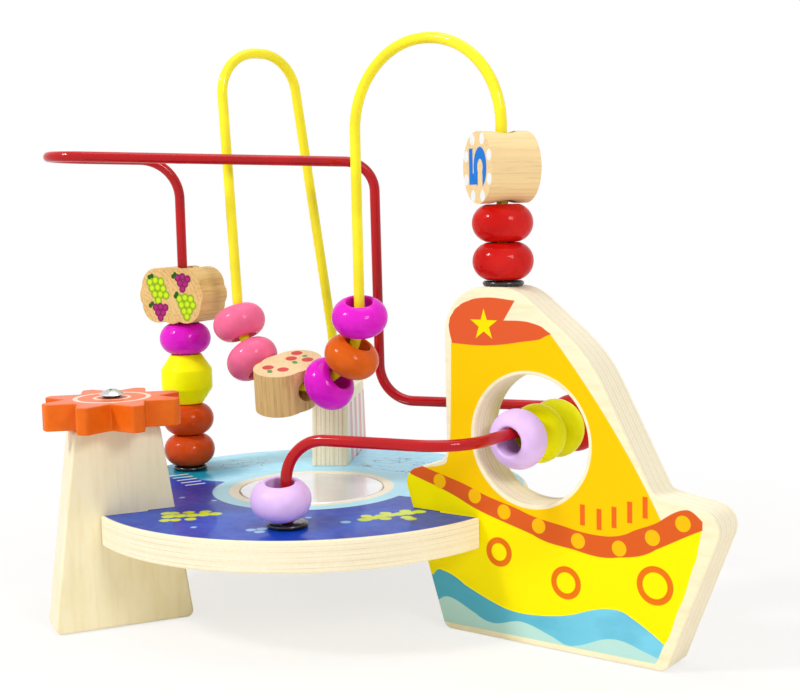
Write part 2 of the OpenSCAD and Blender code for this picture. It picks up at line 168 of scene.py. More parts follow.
class Nodes:
    """A node tree in the making."""

    def __init__(self, tree):
        self.tree = tree

    def join(self, given, socket):
        """Links a value to a socket, or sets a plain number or colour there."""
        if isinstance(given, Value):
            self.tree.links.new(given.socket, socket)
        else:
            socket.default_value = given

    def node(self, kind, settings, inputs, out=0):
        """Adds a node: its settings first, then what feeds its sockets."""
        node = self.tree.nodes.new(kind)
        for key, setting in settings.items():
            if key == "stops":
                set_stops(node.color_ramp, setting)
            else:
                setattr(node, key, setting)
        for key, given in inputs.items():
            self.join(given, node.inputs[key])
        return Value(self, node.outputs[out])

    def math(self, operation, *given):
        return self.node("ShaderNodeMath", {"operation": operation}, dict(enumerate(given)))

    def least(self, *values):
        return reduce(lambda a, b: self.math("MINIMUM", a, b), values)

    def most(self, *values):
        return reduce(lambda a, b: self.math("MAXIMUM", a, b), values)

    def seen(self):
        """1 for rays that show a surface, straight on or in a shiny piece, and 0 for those that light it."""
        rays = ("Is Camera Ray", "Is Glossy Ray", "Is Transmission Ray")
        return self.most(*(self.node("ShaderNodeLightPath", {}, {}, name) for name in rays))

    def blend(self, share, under, over, output):
        """Sends two shaders, the second by a share, to the tree's output node."""
        both = self.node("ShaderNodeMixShader", {}, {0: share, 1: under, 2: over})
        self.join(both, self.tree.nodes[output].inputs["Surface"])


class Finish(Nodes):
    """A material in the making. x, y and z are millimetres round the platform's axis."""

    # The height of a drawn line where its ramp is white
    LINE_TOP = 200

    def __init__(self, name):
        self.material = bpy.data.materials.new(name)
        self.material.use_nodes = True
        super().__init__(self.material.node_tree)
        self.shader = self.tree.nodes["Principled BSDF"]
        metres = self.node("ShaderNodeTexCoord", {}, {}, "Object")
        self.spot = self.node("ShaderNodeVectorMath", {"operation": "MULTIPLY_ADD"},
                              {0: metres, 1: (1 / MM,) * 3, 2: (-AXIS_X, 0, 0)})
        self.x, self.y, self.z = (self.node("ShaderNodeSeparateXYZ", {}, {0: self.spot}, i) for i in range(3))

    def inside(self, distance, blur=0.15):
        """1 where a distance is below zero, 0 above, with a soft edge in millimetres."""
        return self.node("ShaderNodeMapRange", {}, {0: distance, 1: -blur, 2: blur, 3: 1.0, 4: 0.0})

    def span(self, value, low, high, to_low=0.0, to_high=1.0):
        return self.node("ShaderNodeMapRange", {"interpolation_type": "SMOOTHSTEP"},
                         {0: value, 1: low, 2: high, 3: to_low, 4: to_high})

    def uneven(self, noise, low, high):
        """A value that wanders between two others with a noise."""
        return self.span(noise, 0.3, 0.7, low, high)

    def mix(self, under, over, share):
        return self.node("ShaderNodeMix", {"data_type": "RGBA"}, {0: share, 6: under, 7: over}, 2)

    def noise(self, scale, stretch=(1, 1, 1), detail=3.0, rough=0.5, spot=None):
        """Mottling, drawn out along the axes that stretch makes small."""
        stretched = self.node("ShaderNodeVectorMath", {"operation": "MULTIPLY"},
                              {0: spot or self.spot, 1: stretch})
        return self.node("ShaderNodeTexNoise", {}, {"Vector": stretched, "Scale": scale, "Detail": detail,
                                                    "Roughness": rough})

    def along(self, direction, start=(0, 0, 0)):
        """Distance along a direction from a start point."""
        reach = sum(d * s for d, s in zip(direction, start))
        return self.node("ShaderNodeVectorMath", {"operation": "DOT_PRODUCT"},
                         {0: self.spot, 1: tuple(direction)}, 1) - reach

    def turned_axes(self, degrees, start=(0, 0, 0)):
        """Distances along and through a board that is turned about Z."""
        c, s = math.cos(math.radians(degrees)), math.sin(math.radians(degrees))
        return self.along((c, s, 0), start), self.along((-s, c, 0), start)

    def flat(self, u, v):
        return self.node("ShaderNodeCombineXYZ", {}, {0: u, 1: v})

    def from_point(self, flat, u, v):
        return self.node("ShaderNodeVectorMath", {"operation": "DISTANCE"}, {0: flat, 1: (u, v, 0)}, 1)

    def dots(self, flat, points, radius):
        """The distance to the nearest of some discs."""
        return self.least(*(self.from_point(flat, *point) for point in points)) - radius

    def drawn_line(self, along, points):
        """The height of a drawn line at each place along it."""
        first, length = points[0][0], points[-1][0] - points[0][0]
        stops = [((place - first) / length, height / self.LINE_TOP) for place, height in points]
        return self.node("ShaderNodeValToRGB", {"stops": stops}, {0: (along - first) / length}) * self.LINE_TOP

    def finish(self, colour, rough, relief=None, depth=0.1, coat=0.0, metal=0.0, shine=0.5):
        """Joins the values to the shader. relief is a height and depth its size in millimetres."""
        for name, given in (("Base Color", colour), ("Roughness", rough), ("Coat Weight", coat),
                            ("Metallic", metal), ("Coat Roughness", 0.06), ("Specular IOR Level", shine)):
            self.join(given, self.shader.inputs[name])
        if relief is not None:
            bump = self.node("ShaderNodeBump", {}, {"Strength": 1.0, "Distance": depth * MM, "Height": relief})
            self.join(bump, self.shader.inputs["Normal"])
        return self.material


PLY, PLY_DARK = tint(250, 241, 206), tint(226, 206, 160)
PLY_LAYER = 2.2
UPRIGHT_GRAIN, LEVEL_GRAIN = (0.35, 0.35, 0.03), (0.05, 0.4, 0.35)


def ply(f, depth, thick, grain=UPRIGHT_GRAIN, layers=0.45):
    """Bare plywood: fine grain on its faces and glued layers on its edges."""
    streak = f.noise(1.0, grain, 4.0, 0.6)
    broad = f.noise(0.035, detail=2.0)
    face = f.mix(PLY, PLY_DARK, f.span(streak, 0.42, 0.78) * 0.34 + broad * 0.14)
    count = depth / PLY_LAYER + 0.5
    layer = abs(f.math("FRACT", count) - 0.5)
    glue = f.inside(layer - 0.06, 0.06) * f.span(broad, 0.3, 0.6)
    band = f.math("FRACT", f.math("FLOOR", count) * 0.5)
    wood = f.noise(0.8)
    edge = f.mix(tint(248, 240, 214), tint(230, 210, 166), f.span(wood, 0.35, 0.75) * 0.2 + band * layers * 0.6)
    edge = f.mix(edge, tint(196, 164, 112), glue * layers)
    on_face = f.inside(thick / 2 - 0.8 - abs(depth), 0.3)
    return f.mix(edge, face, on_face), streak


def lacquer(name, colour, gloss=0.16, coat=0.2, shine=0.03):
    """Thick toy paint over turned wood: slight unevenness, faint pores and a clear coat."""
    f = Finish(name)
    cloud = f.noise(0.07)
    pores = f.noise(0.9, (1, 1, 0.35), 2.0, 0.6)
    dark, light = toned(colour, 0.91), toned(colour, 1.06, 0.01)
    shade = f.mix(dark, light, f.span(cloud, 0.3, 0.65))
    shade = f.mix(shade, dark, f.span(pores, 0.62, 0.8) * 0.3)
    return f.finish(shade, f.uneven(cloud, gloss, gloss + 0.12), cloud + pores * 0.14, 0.5, coat, shine=shine)


def coated_wire(name, colour):
    """Dipped plastic coat on bent steel, with slow runs and dull patches."""
    f = Finish(name)
    runs = f.noise(0.05)
    shade = f.mix(toned(colour, 0.88), colour, f.span(runs, 0.3, 0.6))
    return f.finish(shade, f.uneven(runs, 0.14, 0.26), runs, 0.3, 0.5, shine=0.04)


def bare_wood(f, u, v, w):
    """End-cut hardwood: growth rings across u and v, with fibres along w."""
    lengthways = f.node("ShaderNodeCombineXYZ", {}, {0: u, 1: v, 2: w * 0.07})
    wander, fibre = (f.noise(scale, detail=5.0, rough=0.6, spot=lengthways) for scale in (0.07, 0.9))
    ring = f.from_point(f.flat(u, v), -34, -22) / 2.3 + wander * 4.5
    late = f.span(f.math("FRACT", ring), 0.5, 1.0)
    pores = f.noise(1.3, detail=2.0, rough=0.7)
    wood = f.mix(tint(230, 192, 126), tint(192, 144, 82), late * 0.4)
    wood = f.mix(wood, tint(160, 112, 60), f.span(fibre, 0.5, 0.72) * 0.5)
    wood = f.mix(wood, tint(140, 94, 52), f.span(pores, 0.62, 0.8) * 0.3)
    return f.mix(wood, tint(244, 212, 152), f.span(wander, 0.45, 0.75) * 0.35), fibre


def bare_finish(f, colour, fibre):
    """Dry sanded wood, with or without a print on it."""
    return f.finish(colour, f.uneven(fibre, 0.45, 0.6), fibre, 0.08, 0.03, shine=0.12)


def boat_finish():
    f = Finish("boat_panel_print")
    r, z = f.x, f.z
    wood, streak = ply(f, f.y, PANEL_THICK, LEVEL_GRAIN, 0.5)
    flat = f.flat(r, z)
    printed = f.inside(f.y + (PANEL_THICK / 2 - PRINT_SKIN), 0.1)

    # Cabin between the band and the cap, with a bare margin round the porthole
    hole = f.inside(BOAT_HOLE_RADIUS + 1.5 - f.from_point(flat, *BOAT_HOLE))
    low = f.drawn_line(r, [(56, 67.2), (63.7, 64.6), (92, 55.2), (124.1, 45.9), (144, 42.2), (160.4, 41.6),
                           (178, 47.2), (204, 60)])
    high = f.drawn_line(r, [(56, 72.8), (68.6, 69), (96, 61.6), (119, 55.1), (140, 51), (158.3, 49.8),
                            (168, 53), (179.9, 58.6), (190.4, 64.1), (197, 60.4), (204, 56)])
    sole = f.drawn_line(r, [(84, 122), (102.5, 121.6), (116.7, 123.3), (128.5, 125.3), (133.5, 127.6)])
    fore = 179.6 - (z - 60) * 0.528 - (z - 60) * (z - 60) * 0.00239
    aft = f.drawn_line(z, [(66, 62), (68.9, 74), (70.5, 81), (74, 83), (81, 84.4), (120.5, 85.7)])
    cabin = f.inside(f.most(r - fore, aft - r, high - 1 - z, z - sole - 1))
    colour = f.mix(wood, tint(249, 200, 0), cabin * hole)

    # Cap with a star
    top = f.drawn_line(r, [(84.4, 128.5), (85.2, 132), (87.4, 135.4), (90.6, 138), (96, 140.2), (103, 141.2),
                           (110, 141), (117, 140.3)])
    brim = f.drawn_line(r, [(104, 131.8), (111.4, 132.2), (122.7, 132), (129.5, 130.1), (133.5, 127.6)])
    crown = f.most(z - top, ((r - 111.4) * 8.3 - (z - 132) * 5.5) / 9.96)
    cap = f.least(crown, f.most(z - brim, 104 - r, r - 133.4))
    tuck = f.most(131 - z, 0)
    cap = f.most(cap, sole - z, tuck * tuck * 0.022 + 84.6 - r)
    colour = f.mix(colour, tint(222, 92, 48), f.inside(cap))
    star_u, star_v, star_reach = 102, 130, 5.6
    turn = f.math("FRACT", f.math("ARCTAN2", z - star_v, r - star_u) * (2.5 / math.pi) + 5.75)
    fold = (0.5 - abs(turn - 0.5)) * (2 * math.pi / 5)
    reach = f.from_point(flat, star_u, star_v)
    star = reach * (f.math("COSINE", fold) * 0.309 + f.math("SINE", fold) * 0.951) - 0.309 * star_reach
    colour = f.mix(colour, tint(255, 226, 0), f.inside(star - 0.35, 0.1))

    # Hull with three rings, the sea and its foam
    side = f.drawn_line(z, [(0, 177), (3.9, 178.6), (13, 183), (27.2, 188.2), (42.7, 193.3), (52.7, 195.9),
                            (62.5, 197)])
    hull = f.inside(f.most(z - low - 1, r - side, 2.6 - z))
    colour = f.mix(colour, tint(255, 238, 0), hull)
    rings = f.least(*(abs(f.from_point(flat, u, v) - radius)
                      for u, v, radius in ((107.7, 36.6, 4.9), (139, 28.4, 5.5), (177.7, 33.2, 6.4))))
    colour = f.mix(colour, tint(232, 116, 20), f.inside(rings - 1.25) * hull)
    surf = f.drawn_line(r, [(60, 15), (74.7, 22.6), (78.9, 24.8), (90.1, 20.4), (108.8, 13.6), (128.3, 13.1),
                            (143.4, 16.4), (155.9, 20.5), (167.2, 19.2), (181.4, 10.7), (196, 4)])
    foam = f.drawn_line(r, [(60, 4), (74, 9), (81.8, 13.7), (96.1, 8.5), (104.7, 6.1), (118.3, 8.9),
                            (132.8, 5.1), (142, 3.1), (158, 8.8), (171.4, 6.9), (190, 2)])
    sea = f.mix(tint(84, 176, 204), tint(122, 208, 236), f.span(r, 90, 170))
    brushed = f.noise(0.05, (1, 1, 2))
    sea = f.mix(sea, tint(72, 156, 190), f.span(brushed, 0.45, 0.7) * 0.3)
    colour = f.mix(colour, sea, hull * f.inside(z - surf))
    colour = f.mix(colour, tint(184, 226, 220), hull * f.inside(z - foam))

    # Band with studs, and the rails above it
    band = f.inside(f.most(low - z, z - high, r - 197))
    colour = f.mix(colour, tint(218, 94, 36), band)
    studs = f.dots(flat, [(78.6, 63.1), (96.2, 58.7), (110.4, 53.7), (126.7, 49.9), (144.6, 46.2), (162.6, 45.6),
                          (176.7, 51.7), (189.2, 58.7)], 3.1)
    colour = f.mix(colour, tint(249, 190, 14), f.inside(studs))
    rails = f.least(*(f.most(abs(r - at) - 1.1, abs(z - middle) - 4.2)
                      for at, middle in ((146.7, 56.9), (154, 56), (160.5, 57.6), (167.2, 60.4), (173.7, 63))))
    colour = f.mix(colour, tint(234, 104, 30), f.inside(rails))

    ink = f.noise(0.35, detail=4.0)
    painted = f.mix(colour, tint(255, 246, 214), f.span(ink, 0.66, 0.9) * 0.14)
    shade = f.mix(wood, painted, printed)
    return f.finish(shade, f.uneven(ink, 0.4, 0.55), streak, 0.03, 0.05, shine=0.04)


def gear_panel_finish():
    f = Finish("gear_panel_wood")
    _, depth = f.turned_axes(GEAR_PANEL_TURN)
    wood, streak = ply(f, depth, PANEL_THICK)
    scuff = f.noise(0.12, (1, 1, 0.5), 5.0, 0.65)
    wood = f.mix(wood, tint(236, 222, 166), f.span(scuff, 0.4, 0.75) * 0.35)
    return f.finish(wood, f.uneven(scuff, 0.42, 0.6), streak, 0.03, 0.06, shine=0.3)


def tower_finish():
    f = Finish("tower_panel_stripes")
    r, depth = f.turned_axes(TOWER_TURN)
    wood, streak = ply(f, depth, PANEL_THICK, layers=1.0)
    bend = f.math("SINE", (f.z - 50) / 26.0) * 1.6
    stripe = abs(f.math("FRACT", (r + bend) / 15.0) - 0.5)
    stripes = f.mix(tint(248, 243, 232), tint(238, 176, 178), f.inside(stripe - 0.27, 0.02))
    field = f.inside(f.most(f.z - 80, 12 - f.z, 57 - r, r - 116))
    printed = f.inside(depth + (PANEL_THICK / 2 - PRINT_SKIN), 0.1)
    wood = f.mix(wood, stripes, printed * field)
    return f.finish(wood, f.uneven(streak, 0.4, 0.55), streak, 0.03, 0.06, shine=0.3)


def platform_finish():
    f = Finish("platform_sea_print")
    wood, streak = ply(f, f.z - PLATFORM_MIDDLE, PLATFORM_THICK, LEVEL_GRAIN)
    flat = f.flat(f.x, f.y)
    wash, brush = (f.noise(scale, detail=4.0, rough=0.6) for scale in (0.03, 0.16))

    # Shallow and deep water
    shallow = f.mix(tint(153, 225, 253), tint(186, 238, 255), f.span(brush, 0.35, 0.7))
    shallow = f.mix(shallow, tint(16, 142, 172), f.span(f.x + wash * 20, -34, -52) * f.span(f.y, 34, 4))
    deep = f.mix(tint(6, 52, 162), tint(20, 80, 190), f.span(wash, 0.35, 0.7))
    shore = f.y + 13 - (f.x + 56) * 0.18
    sea = f.mix(shallow, deep, f.inside(shore + (wash - 0.5) * 10, 0.5))

    # Weed, bubbles, a row of dashes and thin scribbles
    weed = f.dots(flat, [(-15, -76), (-11.5, -72.5), (-8, -69), (-4.5, -65.5), (-1.5, -62), (60, -37),
                         (61, -32.5), (62, -28.5), (64, -25), (66.5, -21.5), (69, -18), (71, -14)], 3.0)
    frond = f.dots(flat, [(-20, -72.5), (-17.5, -70.5), (-11, -82), (-8, -79), (-13, -66), (-3.5, -74.5),
                          (-7.5, -61.5), (57, -32), (66.5, -31), (60.5, -23.5), (72.5, -24.5), (75.5, -26),
                          (65.5, -16)], 2.5)
    sea = f.mix(sea, tint(200, 218, 36), f.inside(f.least(weed, frond) + (brush - 0.5) * 1.8, 0.3))
    bubbles = f.least(f.dots(flat, [(56, -44.5), (31.5, -75), (34, -71.5), (36.5, -75.5)], 2.2),
                      f.dots(flat, [(37.5, -46.5), (-37, -46.5), (-20, -43.5), (8, -84)], 1.3))
    sea = f.mix(sea, tint(158, 204, 238), f.inside(bubbles, 0.3) * 0.9)
    row, cross = (f.along(way, (-75.5, -11.2, 0)) for way in ((0.894, -0.447, 0), (0.802, 0.598, 0)))
    dash = f.most(abs(f.math("FRACT", row / 6.4 + 0.5) - 0.5) * 6.4 - 0.75, abs(cross - row * 0.45) - 4.4)
    sea = f.mix(sea, tint(240, 236, 232), f.inside(f.most(dash, abs(row - 13) - 17)))
    scrawl = f.noise(0.085, (1, 1.6, 1), 2.0)
    patch = f.least(f.from_point(flat, -66, 25) - 15, f.from_point(flat, 4, 62) - 20)
    sea = f.mix(sea, tint(34, 72, 128), f.inside(abs(scrawl - 0.5) - 0.012, 0.006) * f.inside(patch, 2.0) * 0.8)

    # Rings round the mirror, the last one painted shade in the gap at its rim
    reach = f.from_point(flat, 0, 0)
    sea = f.mix(sea, tint(172, 226, 242), f.inside(reach - 45.5, 0.3))
    sea = f.mix(sea, tint(240, 232, 204), f.inside(reach - 38.0, 0.3))
    sea = f.mix(sea, tint(70, 84, 96), f.inside(reach - (RECESS_RADIUS + 0.3), 0.2))

    printed = f.inside(PLATFORM_TOP - PRINT_SKIN - f.z) * f.inside(reach - (PLATFORM_RADIUS - 1.3), 0.4)
    shade = f.mix(wood, sea, printed)
    return f.finish(shade, f.uneven(brush, 0.34, 0.44), streak, 0.02, printed * 0.2 + 0.04, shine=0.08)


def gear_finish():
    f = Finish("gear_orange_paint")
    reach = f.from_point(f.flat(f.x, f.y), *GEAR_SPOT)
    cloud = f.noise(0.05, detail=4.0, rough=0.6)
    grain = f.noise(0.5, (1, 0.12, 1))
    top = f.inside(GEAR_TOP - PRINT_SKIN - f.z, 0.25)
    paint = f.mix(tint(224, 96, 14), tint(234, 114, 26), f.uneven(cloud, 0.0, 1.0))
    paint = f.mix(paint, tint(230, 112, 66), top * 0.7)
    rings = f.least(abs(reach - 15.6) - 1.0, abs(reach - 7.4) - 0.7)
    paint = f.mix(paint, tint(250, 226, 208), f.inside(rings, 0.3) * top * 0.85)
    return f.finish(paint, f.uneven(cloud, 0.32, 0.46), grain, 0.03, 0.1, shine=0.08)


def berry_finish():
    f = Finish("berry_block_print")
    u, w = f.turned_axes(BERRY_TURN, BERRY_SPOT)
    v = f.z - BERRY_SPOT[2]
    wood, fibre = bare_wood(f, u, v, w)
    flat = f.flat(u, v)
    face = f.inside(w + (BLOCK_THICK / 2 - 0.3), 0.1)
    green = f.dots(flat, [(-12.6, 6.6), (-9.2, 7.4), (-5.8, 6.8), (-11.4, 3.6), (-8, 4), (-4.6, 3.4), (-9.8, 0.6),
                          (-6.4, 0.6), (-3, 0.2), (-7.8, -2.4), (5, -1.4), (8.4, -0.8), (11.8, -1.4), (6.2, -4.4),
                          (9.6, -4), (13, -4.4), (7.6, -7.4), (10.8, -7.2), (9.2, -10)], 2.15)
    plum = f.dots(flat, [(4.4, 8.8), (7.4, 9.2), (10.4, 8.2), (5.8, 6.2), (8.8, 5.8), (7.2, 3.4), (-9.6, -5.8),
                         (-6.6, -5.4), (-3.6, -5.8), (-8.2, -8.4), (-5.2, -8.4), (-6.8, -10.8)], 1.9)
    leaf = f.dots(flat, [(-11.2, 9.6), (-12.8, 9), (3, 10.4), (1.8, 9.4), (3.6, 1), (2.8, -0.2), (-11.6, -4),
                         (-12.8, -5)], 1.15)
    green_skin = f.mix(tint(206, 236, 34), tint(112, 160, 16), f.span(green, -1.5, 0))
    plum_skin = f.mix(tint(176, 40, 120), tint(116, 14, 84), f.span(plum, -1.3, 0))
    colour = f.mix(wood, green_skin, f.inside(green) * face)
    colour = f.mix(colour, plum_skin, f.inside(plum) * face)
    colour = f.mix(colour, tint(38, 92, 22), f.inside(leaf) * face)
    return bare_finish(f, colour, fibre)


def cherry_finish():
    f = Finish("cherry_block_print")
    turn = around(Vector(), *CHERRY_TURNS).to_3x3()
    u, v, w = (f.along(tuple(turn.col[i]), CHERRY_SPOT) for i in range(3))
    wood, fibre = bare_wood(f, u, v, w)
    flat = f.flat(u, v)
    face = f.inside(BLOCK_THICK / 2 - 0.3 - w, 0.1)
    fruit = f.dots(flat, [(-4, -9), (3.4, -7), (-2.6, 5.4), (4.6, 8.6), (-5, 12)], 2.7)
    leaf = f.dots(flat, [(-0.6, -11.6), (0.4, -12.6), (1.4, 3), (2.6, 2.4), (0.6, 11.4)], 1.2)
    colour = f.mix(wood, tint(238, 216, 180), face * 0.5)
    colour = f.mix(colour, tint(204, 74, 72), f.inside(fruit) * face)
    colour = f.mix(colour, tint(96, 148, 78), f.inside(leaf) * face)
    return bare_finish(f, colour, fibre)


def number_finish():
    f = Finish("number_block_print")
    u, w = f.turned_axes(NUMBER_TURN, NUMBER_SPOT)
    v = f.z - NUMBER_SPOT[2]
    wood, fibre = bare_wood(f, u, v, w)
    face = f.inside(w + (NUMBER_THICK / 2 - 0.35), 0.1)

    # The number lies on its side, so it is drawn along a and b
    a, b = v * 0.78, -u
    bar = f.most(abs(a - 0.4) - 5.4, abs(b - 6.4) - 1.6)
    stem = f.most(abs(a + 3.5) - 1.5, abs(b - 3.6) - 3.6)
    gap = f.most(a + 1.5, b - 0.4, -5.2 - b)
    bowl = f.most(abs(f.from_point(f.flat(a, b), 0, -2.6) - 4.5) - 1.6, -gap)
    digit = f.least(bar, stem, bowl) - 0.3

    # Eight spots in a ring
    ring = 12.2
    turn = f.math("FRACT", f.math("ARCTAN2", v, u) * (4 / math.pi) + 20) - 0.5
    swing = turn * (math.pi / 4 * ring)
    spots = f.from_point(f.flat(swing, f.from_point(f.flat(u, v), 0, 0)), 0, ring) - 2.3
    colour = f.mix(f.mix(wood, tint(255, 234, 188), 0.42), tint(236, 240, 244), f.inside(spots) * face)
    colour = f.mix(colour, tint(0, 118, 214), f.inside(digit) * face)
    return bare_finish(f, colour, fibre)


def mirror_finish():
    f = Finish("mirror_glass")
    haze = f.noise(0.08, detail=4.0, rough=0.6)
    colour = f.mix(tint(240, 240, 243), tint(228, 231, 236), f.span(haze, 0.35, 0.7))
    return f.finish(colour, f.uneven(haze, 0.1, 0.2), metal=0.5)


def metal(name, colour, rough):
    f = Finish(name)
    turned_lines = f.noise(1.6, (1, 1, 0.2))
    shade = f.mix(colour, toned(colour, 0.7), f.span(turned_lines, 0.45, 0.75) * 0.5)
    return f.finish(shade, f.uneven(turned_lines, rough, rough + 0.15), turned_lines, 0.03, metal=1.0)


def black_plastic():
    f = Finish("ferrule_black_plastic")
    skin = f.noise(0.7)
    shade = f.mix(tint(16, 16, 18), tint(38, 37, 38), f.span(skin, 0.4, 0.75))
    return f.finish(shade, f.uneven(skin, 0.16, 0.3), skin, 0.03, 0.2)


# Modelling by hand

def pick(piece):
    bpy.ops.object.select_all(action="DESELECT")
    piece.select_set(True)
    bpy.context.view_layer.objects.active = piece


def copied(pattern):
    pick(pattern)
    bpy.ops.object.duplicate()
    return bpy.context.object


def set_loop(piece, points):
    for vertex, point in zip(piece.data.vertices, points):
        vertex.co = Vector(point) * MM


def turned(profile, steps=80):
    """A closed profile of (radius, height), spun round Z."""
    bpy.ops.object.select_all(action="DESELECT")
    bpy.ops.mesh.primitive_circle_add(vertices=len(profile), radius=1)
    piece = bpy.context.object
    set_loop(piece, [(r, 0, h) for r, h in profile])
    bpy.ops.object.mode_set(mode="EDIT")
    bpy.ops.mesh.select_all(action="SELECT")
    bpy.ops.mesh.spin(steps=steps, angle=2 * math.pi, center=(0, 0, 0), axis=(0, 0, 1))
    bpy.ops.object.mode_set(mode="OBJECT")
    return piece


def sawn(outline, thick):
    """A board cut to an outline in XY, its thickness centred on Z."""
    bpy.ops.object.select_all(action="DESELECT")
    bpy.ops.mesh.primitive_circle_add(vertices=len(outline), radius=1, fill_type="NGON")
    piece = bpy.context.object
    set_loop(piece, [(u, v, -thick / 2) for u, v in outline])
    bpy.ops.object.mode_set(mode="EDIT")
    bpy.ops.mesh.select_all(action="SELECT")
    bpy.ops.mesh.extrude_region_move(TRANSFORM_OT_translate={"value": (0, 0, thick * MM)})
    bpy.ops.mesh.select_all(action="SELECT")
    bpy.ops.mesh.normals_make_consistent(inside=False)
    bpy.ops.object.mode_set(mode="OBJECT")
    return piece


def apply(piece, kind, **settings):
    pick(piece)
    modifier = piece.modifiers.new(kind.title(), kind)
    for key, setting in settings.items():
        setattr(modifier, key, setting)
    bpy.ops.object.modifier_apply(modifier=modifier.name)


def cut(piece, tool):
    """Takes a tool's shape out of a piece and puts the tool away."""
    apply(piece, "BOOLEAN", object=tool, operation="DIFFERENCE", solver="EXACT")
    bpy.data.objects.remove(tool)
    return piece


def drilled(piece, middle, radius, depth, turn=(0, 0, 0)):
    """Cuts a round hole; middle is in the piece's own millimetres."""
    bpy.ops.object.select_all(action="DESELECT")
    bpy.ops.mesh.primitive_cylinder_add(vertices=96, radius=radius * MM, depth=depth * MM,
                                        location=Vector(middle) * MM, rotation=turn)
    return cut(piece, bpy.context.object)


def notched(piece, middle, sides, turn=0):
    """Saws a square-cornered notch out of a piece."""
    bpy.ops.object.select_all(action="DESELECT")
    bpy.ops.mesh.primitive_cube_add(size=1, scale=Vector(sides) * MM, location=Vector(middle) * MM,
                                    rotation=(0, 0, math.radians(turn)))
    return cut(piece, bpy.context.object)


def softened(piece, width, steps=3):
    apply(piece, "BEVEL", width=width * MM, segments=steps, limit_method="ANGLE", angle_limit=math.radians(35))
    return piece


def moved(piece, place):
    pick(piece)
    piece.matrix_world = place
    bpy.ops.object.transform_apply(location=True, rotation=True, scale=True)
    return piece


def done(piece, node, body, finish, boards=False):
    """Cleans the mesh, gives it its finish and ties it to the CAD node that it stands for."""
    pick(piece)
    bpy.ops.object.mode_set(mode="EDIT")
    bpy.ops.mesh.select_all(action="SELECT")
    bpy.ops.mesh.remove_doubles(threshold=1e-6)
    bpy.ops.mesh.normals_make_consistent(inside=False)
    bpy.ops.object.mode_set(mode="OBJECT")
    bpy.ops.object.shade_smooth_by_angle(angle=math.radians(40))
    if boards:
        apply(piece, "WEIGHTED_NORMAL", mode="FACE_AREA", weight=100, keep_sharp=True)
    piece.name = node + "_made"
    piece.data.materials.clear()
    piece.data.materials.append(finish)
    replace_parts(piece, node)
    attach(piece, body)


def corner(before, here, after, radius, step):
    """Points round a corner, a few degrees apart, from one straight run to the next."""
    here = Vector(here)
    a, b = (Vector(before) - here).normalized(), (Vector(after) - here).normalized()
    half = a.angle(b) / 2
    middle = here + (a + b).normalized() * (radius / math.sin(half))
    start = here + a * (radius / math.tan(half)) - middle
    axis = a.cross(start)
    sweep = math.pi - 2 * half
    count = max(3, int(math.degrees(sweep) / step))
    return [middle + Matrix.Rotation(sweep * k / count, 3, axis) @ start for k in range(count + 1)]


def rounded(corners, step=6.0):
    """An outline of (u, v, radius) corners with its corners rounded off."""
    spots = [(u, v, 0) for u, v, _ in corners]
    points = []
    for i, (_, _, radius) in enumerate(corners):
        points += corner(spots[i - 1], spots[i], spots[(i + 1) % len(spots)], radius, step)
    return [(point.x, point.y) for point in points]


def arc(middle, radius, start, end, count):
    turns = [math.radians(start + (end - start) * k / count) for k in range(count + 1)]
    return [(middle[0] + radius * math.cos(a), middle[1] + radius * math.sin(a)) for a in turns]


def bent(corners, bends):
    """A wire along straight runs joined by round bends."""
    points = [corners[0]]
    for i, bend in enumerate(bends):
        points += corner(*corners[i:i + 3], bend, 4)
    points.append(corners[-1])
    bpy.ops.object.select_all(action="DESELECT")
    bpy.ops.curve.primitive_bezier_curve_add()
    wire = bpy.context.object
    wire.data.splines.clear()
    spline = wire.data.splines.new("POLY")
    spline.points.add(len(points) - 1)
    for point, spot in zip(spline.points, points):
        point.co = (*placed(*spot), 1)
    wire.data.dimensions = "3D"
    wire.data.bevel_depth = WIRE_RADIUS * MM
    wire.data.bevel_resolution = 5
    wire.data.use_fill_caps = True
    bpy.ops.object.convert(target="MESH")
    return bpy.context.object


def middle_of(node):
    low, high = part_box(node)
    return (low + high) / 2


# Boards

def panel(board, degrees, node, finish):
    """Softens a board, half-laps it with the platform and stands it in its place."""
    softened(board, 1.3)
    notched(board, (LAP - 25, PLATFORM_MIDDLE, 0), (50, PLATFORM_THICK + 0.3, 40))
    done(moved(board, around(placed(0, 0, 0), (90, "X"), (degrees, "Z"))), node, STAND, finish, True)


def trapezoid(mid, foot, top, height):
    return rounded([(mid - foot / 2, 0, 3), (mid + foot / 2, 0, 3), (mid + top / 2, height, 3),
                    (mid - top / 2, height, 3)])


boat_outline = rounded([(80.2, 0, 4), (182, 0, 4), (206.5, 62.8, 8), (177, 67.6, 6), (150, 119.4, 60),
                        (117, CABIN_TOP, 20), (82.5, CABIN_TOP, 20), (82.5, 73.1, 6), (59.5, 65.3, 7)])
boat = drilled(sawn(boat_outline, PANEL_THICK), (*BOAT_HOLE, 0), BOAT_HOLE_RADIUS, 40)
panel(boat, BOAT_TURN, "boat_panel", boat_finish())
gear_board = sawn(trapezoid(90, 61, 37, 87.4), PANEL_THICK)
panel(gear_board, GEAR_PANEL_TURN, "gear_panel", gear_panel_finish())
tower_board = sawn(trapezoid(84, 82, 57, TOWER_TOP), PANEL_THICK)
panel(tower_board, TOWER_TURN, "tower_panel", tower_finish())


